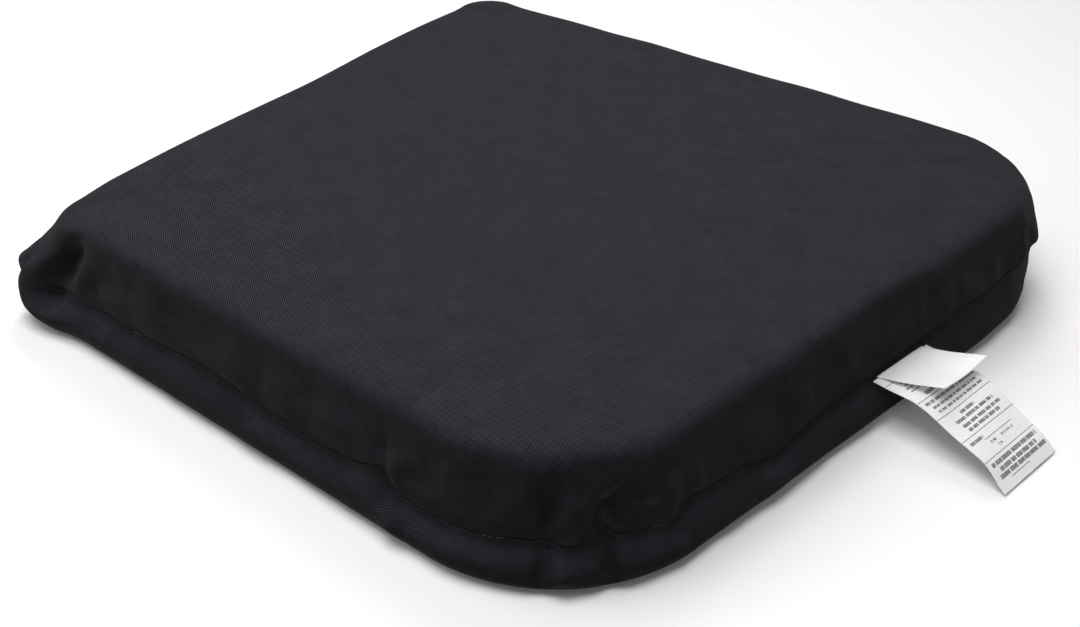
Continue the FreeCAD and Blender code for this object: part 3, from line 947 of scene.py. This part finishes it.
# Printed rules on the long label: (distance from the seam, start and end across it, from its left edge)
LAW_WIDTH = 2 * LAW_HALF
RULES = [(6.6, 0, LAW_WIDTH), (19.2, 0, LAW_WIDTH), (23.8, 0, LAW_WIDTH), (35.2, 0, LAW_WIDTH),
         (49.4, 0, LAW_WIDTH), (54.3, 13, 36), (62.3, 0, LAW_WIDTH), (73.4, 11, 26)]
# Rows of plain bars: (distance from the seam, height, start, end, mean length of a bar)
BARS = [
    (2.9, 1.0, 6, 40, 4.0), (4.9, 1.6, 10, 36, 5.0), (9.2, 1.5, 8, 30, 4.0), (11.8, 1.1, 8, 38, 3.0),
    (14.2, 1.4, 6, 34, 4.0), (16.8, 1.0, 6, 20, 3.0), (21.4, 2.0, 10, 34, 5.0),
    (26.4, 1.3, 3, 43, 3.2), (29.3, 1.3, 5, 40, 3.0), (32.3, 1.3, 6, 42, 2.8),
    (38.0, 1.5, 16, 27, 4.0), (41.0, 1.6, 9, 38, 5.0), (43.9, 1.6, 10, 40, 4.0), (46.8, 1.6, 11, 36, 4.5),
    (52.4, 1.6, 3, 14, 4.0), (56.8, 1.2, 15, 20, 2.0), (56.8, 1.2, 24, 34, 0.8), (59.6, 1.1, 18, 21, 1.5),
    (65.2, 2.0, 3, 42, 5.5), (68.1, 2.0, 7, 38, 4.5), (71.0, 2.0, 4, 43, 6.0),
]


def printed(x, v):
    """True where a point of the long label's face is inked."""
    across = LAW_HALF - x
    ink = np.zeros(x.shape, bool)
    for at, start, end in RULES:
        ink |= (np.abs(v - at) < 0.16) & (across >= start) & (across <= end)
    r = np.random.default_rng(51)
    for at, height, start, end, length in BARS:
        row = np.abs(v - at) < height / 2
        edge = start
        while edge < end:
            bar = length * r.uniform(0.5, 1.5)
            ink |= row & (across >= edge) & (across < min(edge + bar, end))
            edge += bar + r.uniform(0.5, 0.9)
    return ink


def law_lift(x, run):
    """Waves that grow towards the free end, and a left edge that lifts."""
    free = smooth(run, 4, 40)
    wave = 0.7 * np.sin(run / 11.0 + x / 19.0) + 0.4 * np.sin(run / 6.3 - x / 9.0)
    near_floor = 1 - smooth(run, 60, 74)
    return free * near_floor * (wave + 1.2 * bell(x, LAW_HALF, 8)) + 0.5 * bell(run, 20, 9)


def care_lift(x, run):
    """A slight hollow, and two corners that curl up."""
    hollow = -0.9 * bell(np.hypot(x, run - 18), 0, 11)
    left_curl = 1.4 * bell(np.hypot(x + 18, run - 30), 0, 10)
    right_curl = 0.9 * bell(np.hypot(x - 19, run - 30), 0, 8)
    return (hollow + left_curl + right_curl
            + 0.3 * bell(np.hypot(x + 19, run - 3), 0, 5) * smooth(run, 0, 2) + 0.3) * smooth(run, 0, 6)


# Mesh size of each label, and how far its free end has swung sideways
LAW_CELL, LAW_DRIFT = 0.4, 1.5
CARE_CELL, CARE_DRIFT = 0.8, -8.0
law_label, law_x, law_v, law_faces, law_length = strip(
    "law_label_cloth", LAW_HALF, LAW_PATH, LAW_CELL, law_lift, LAW_DRIFT
)
care_label, _, _, _, care_length = strip(
    "care_label_cloth", CARE_HALF, CARE_PATH, CARE_CELL, care_lift, CARE_DRIFT
)
ink_layer = law_label.data.attributes.new("ink", "FLOAT", "FACE")
middle_x = (law_x[:-1, :-1] + law_x[1:, 1:]) / 2
middle_v = (law_v[:-1, :-1] + law_v[1:, 1:]) / 2
ink_values = np.zeros(len(law_label.data.polygons), np.float32)
ink_values[:law_faces] = printed(middle_x, middle_v).ravel()
ink_layer.data.foreach_set("value", ink_values)

stitch_upper = topstitch("topstitch_upper_thread", TOPSTITCH_Z)
stitch_lower = topstitch("topstitch_lower_thread", -TOPSTITCH_Z)
tacks = bartacks("bartack_thread")
coil_upper = coil("coil_wire_upper", 1)
coil_lower = coil("coil_wire_lower", -1)
tape_upper = tape("tape_cloth_upper", 1)
tape_lower = tape("tape_cloth_lower", -1)

# Places round the rim where a few of the seam's stitches show: (first, last)
SHOWING = [(1129, 1138), (1200, 1206), (300, 312), (902, 908)]


def seam_stitches(name):
    """Short stitches lying along the seam where it is pulled open a little."""
    pieces = []
    for first, last in SHOWING:
        for place in np.arange(first, last, 2.6):
            k = int(np.abs(along(place)).argmin())
            n = np.r_[NORMAL[k], 0]
            way = np.array([-n[1], n[0], 0])
            t = np.linspace(-1, 1, 7)[:, None]
            middle = np.r_[BASE[k], SEAM_Z + RISE[k]] + n * (0.05 - NOTCH[k])
            path = middle + t * way * 0.85 + t * np.array([0, 0, 0.35]) + n * (0.1 - 0.5 * t**4)
            pieces.append(tube(path, 0.13, np.repeat(n[None], 7, 0), 6))
    return joined(name, pieces)


seam_showing = seam_stitches("seam_stitches_showing")


# -------------------- label, tape, thread and metal materials
def satin_material(name, inked):
    """White woven satin: fine ribs one way, faint soiling, and grey-black ink where it is printed."""
    m = Nodes(name)
    u, v = m.uv()
    rib = m.math("SINE", m.math("MULTIPLY", u, 2 * math.pi / (0.36 * MM)))
    pick = m.math("SINE", m.math("MULTIPLY", v, 2 * math.pi / (0.22 * MM)))
    slub = m.noise(m.vector(m.math("MULTIPLY", u, 0.1), v), 2500.0, 2.0)
    height = m.math("ADD", m.math("MULTIPLY", rib, 0.5), m.math("ADD", m.math("MULTIPLY", pick, 0.25), slub))
    cloud = m.noise(m.vector(u, v), 70.0, 3.0)
    color = m.mix(m.ramp(cloud, 0.3, 0.75), rgb(0.90, 0.90, 0.895), rgb(0.96, 0.96, 0.96))
    color = m.mix(m.ramp(slub, 0.35, 0.8), color, rgb(0.86, 0.86, 0.86))
    if inked:
        ink = m.add("ShaderNodeAttribute", attribute_name="ink").outputs["Fac"]
        worn = m.ramp(m.noise(m.vector(u, v), 1400.0, 2.0), 0.25, 0.62, 0.45, 0.95)
        color = m.mix(m.math("MULTIPLY", ink, worn), color, rgb(0.055, 0.055, 0.06))
    rough = m.ramp(cloud, 0.2, 0.8, 0.42, 0.6)
    return m.finish(color, rough, m.bump(height, 0.00004, 0.5), Sheen_Weight=0.15)


def tape_material():
    """Black polyester zip tape: a fine herringbone with ribs along its edge."""
    m = Nodes("zip_tape_weave")
    u, v = m.uv()
    fold = m.math("PINGPONG", m.math("MULTIPLY", v, 1 / MM), 1.6)
    turns = m.math("MULTIPLY", u, 2 * math.pi / (0.9 * MM))
    bone = m.math("SINE", m.math("ADD", turns, m.math("MULTIPLY", fold, 4.0)))
    fine = m.noise(m.vector(u, v), 1800.0, 2.0)
    weave = m.ramp(m.math("ADD", bone, fine), -0.6, 1.6)
    color = m.mix(weave, rgb(0.008, 0.008, 0.010), rgb(0.024, 0.024, 0.028))
    return m.finish(color, m.ramp(fine, 0.2, 0.8, 0.62, 0.8), m.bump(m.math("ADD", bone, fine), 0.00008, 0.6))


def thread_material(name, dark, light):
    """Spun thread: two plies that twist round each other, with a little fuzz."""
    m = Nodes(name)
    x, y, z = m.position()
    run = m.math("ADD", m.math("ADD", m.math("MULTIPLY", x, 0.4), y), m.math("MULTIPLY", z, 1.3))
    ply = m.math("SINE", m.math("MULTIPLY", run, 2 * math.pi / (0.5 * MM)))
    fuzz = m.noise(None, 3500.0, 2.0)
    color = m.mix(m.ramp(m.math("ADD", ply, fuzz), -0.6, 1.6), dark, light)
    return m.finish(color, m.ramp(fuzz, 0.2, 0.8, 0.55, 0.8), m.bump(m.math("ADD", ply, fuzz), 0.00005, 0.6),
                    Sheen_Weight=0.2)


def coil_material():
    """Black nylon monofilament, drawn smooth, with faint scuffs where the slider has run."""
    m = Nodes("zip_coil_nylon")
    scuff = m.noise(None, 600.0, 3.0)
    color = m.mix(m.ramp(scuff, 0.45, 0.8), rgb(0.010, 0.010, 0.012), rgb(0.030, 0.030, 0.033))
    return m.finish(color, m.ramp(scuff, 0.3, 0.8, 0.28, 0.5), m.bump(scuff, 0.00003, 0.4), Coat_Weight=0.1)


def gunmetal_material():
    """Black-nickel plated zinc, rubbed lighter where fingers and the tape touch it."""
    m = Nodes("zip_gunmetal")
    cloud = m.noise(None, 260.0, 4.0, 0.6)
    brush = m.noise(None, 2400.0, 2.0)
    geometry = m.add("ShaderNodeNewGeometry")
    edge = m.ramp(geometry.outputs["Pointiness"], 0.50, 0.58)
    color = m.mix(m.ramp(cloud, 0.3, 0.7), rgb(0.055, 0.056, 0.060), rgb(0.095, 0.096, 0.10))
    color = m.mix(m.math("MULTIPLY", edge, 0.18), color, rgb(0.30, 0.30, 0.30))
    return m.finish(color, m.ramp(cloud, 0.3, 0.75, 0.26, 0.46), m.bump(brush, 0.00002, 0.35), Metallic=1.0)


SATIN = satin_material("label_satin", False)
THREAD = thread_material("charcoal_thread", rgb(0.010, 0.010, 0.012), rgb(0.036, 0.036, 0.042))
PALE_THREAD = thread_material("worn_thread", rgb(0.03, 0.03, 0.035), rgb(0.09, 0.09, 0.10))
OVERLOCK = thread_material("overlock_yarn", rgb(0.014, 0.014, 0.017), rgb(0.045, 0.045, 0.052))
GUNMETAL = gunmetal_material()
WEAVE = tape_material()
NYLON = coil_material()
for obj, material in (
    (law_label, satin_material("label_satin_printed", True)), (care_label, SATIN), (stitch_upper, THREAD),
    (stitch_lower, THREAD), (tacks, THREAD), (coil_upper, NYLON), (coil_lower, NYLON),
    (tape_upper, WEAVE), (tape_lower, WEAVE), (seam_showing, PALE_THREAD),
):
    obj.data.materials.append(material)


def dress(node, material):
    """Gives every object of a CAD node a procedural material."""
    for obj in bpy.data.objects:
        belongs = obj.name == node or obj.name.startswith(node + ".") or obj.get("node") == node
        if obj.type == "MESH" and belongs:
            obj.data.materials.clear()
            obj.data.materials.append(material)


for node, material in (
    ("seam_thread", THREAD), ("overlock_thread", OVERLOCK), ("zip_top_stops", GUNMETAL),
    ("zip_bottom_stop", GUNMETAL), ("slider_body", GUNMETAL), ("pull_tab", GUNMETAL),
):
    dress(node, material)

# -------------------- rides, and what stands for what
for piece, node in (
    (stitch_upper, "zip_topstitch_upper"), (stitch_lower, "zip_topstitch_lower"), (tacks, "zip_bartacks"),
    (coil_upper, "zip_coil_upper"), (coil_lower, "zip_coil_lower"), (tape_upper, "zip_tape_upper"),
    (tape_lower, "zip_tape_lower"), (law_label, "law_label"), (care_label, "care_label"),
):
    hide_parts(node)
for obj in (
    cover_top, cover_bottom, core, stitch_upper, stitch_lower, tacks, coil_upper, coil_lower, tape_upper,
    tape_lower, seam_showing,
):
    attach(obj, "cushion")
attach(law_label, "law_label")
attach(care_label, "care_label")


# -------------------- stage
def floor_material():
    m = Nodes("white_floor")
    grain = m.noise(None, 40.0, 2.0)
    return m.finish(m.mix(grain, rgb(0.93, 0.93, 0.93), rgb(0.95, 0.95, 0.95)), 0.9)


FLOOR_HALF = 30000
FLOOR_Z = -0.4
floor_corners = [(x * FLOOR_HALF, y * FLOOR_HALF, FLOOR_Z) for x, y in ((-1, -1), (1, -1), (1, 1), (-1, 1))]
floor = mesh_object("floor", floor_corners, [(0, 1, 2, 3)])
floor.data.materials.append(floor_material())

WORLD_LIGHT = 0.07
scene = bpy.context.scene
scene.view_settings.view_transform = "Standard"
scene.view_settings.look = "None"
world = bpy.data.worlds.new("studio")
world.use_nodes = True
world.node_tree.nodes["Background"].inputs[0].default_value = (1, 1, 1, 1)
world.node_tree.nodes["Background"].inputs[1].default_value = WORLD_LIGHT
scene.world = world


def softbox(name, place, aim, size, power):
    data = bpy.data.lights.new(name, "AREA")
    data.shape = "RECTANGLE"
    data.size, data.size_y = size
    data.energy = power
    obj = bpy.data.objects.new(name, data)
    obj.location = place
    obj.rotation_mode = "QUATERNION"
    obj.rotation_quaternion = (Vector(aim) - Vector(place)).to_track_quat("-Z", "Y")
    scene.collection.objects.link(obj)


softbox("ceiling", (0, 0, 3.5), (0, 0, 0), (7, 7), 26)
softbox("overhead", (0.05, 0.30, 1.2), (0.05, 0.30, 0), (0.9, 0.9), 12.3)
softbox("left", (1.3, 1.1, 0.9), (0, 0, 0.03), (0.9, 0.9), 5.5)
softbox("right", (-1.4, 1.1, 0.9), (0, 0, 0.03), (0.9, 0.9), 4.0)
softbox("rear", (0.7, -1.0, 1.4), (0, 0, 0.03), (0.9, 0.9), 13.0)

CAMERA_LENS = 42.03
CAMERA_AZIMUTH = math.radians(219.72)
CAMERA_ELEVATION = math.radians(32.88)
CAMERA_ROLL = math.radians(0.11)
CAMERA_TARGET = Vector((-25.3, 34.6, 0.0)) * MM
CAMERA_DISTANCE = 676.6 * MM

back = Vector(
    (
        math.sin(CAMERA_AZIMUTH) * math.cos(CAMERA_ELEVATION),
        -math.cos(CAMERA_AZIMUTH) * math.cos(CAMERA_ELEVATION),
        math.sin(CAMERA_ELEVATION),
    )
)
camera_data = bpy.data.cameras.new("camera")
camera_data.sensor_width = 36.0
camera_data.lens = CAMERA_LENS
camera_data.clip_start = 0.01
camera = bpy.data.objects.new("camera", camera_data)
camera.location = CAMERA_TARGET + back * CAMERA_DISTANCE
camera.rotation_mode = "QUATERNION"
level = back.to_track_quat("Z", "Y")
camera.rotation_quaternion = level @ Quaternion((0, 0, 1), CAMERA_ROLL)
scene.collection.objects.link(camera)
scene.camera = camera
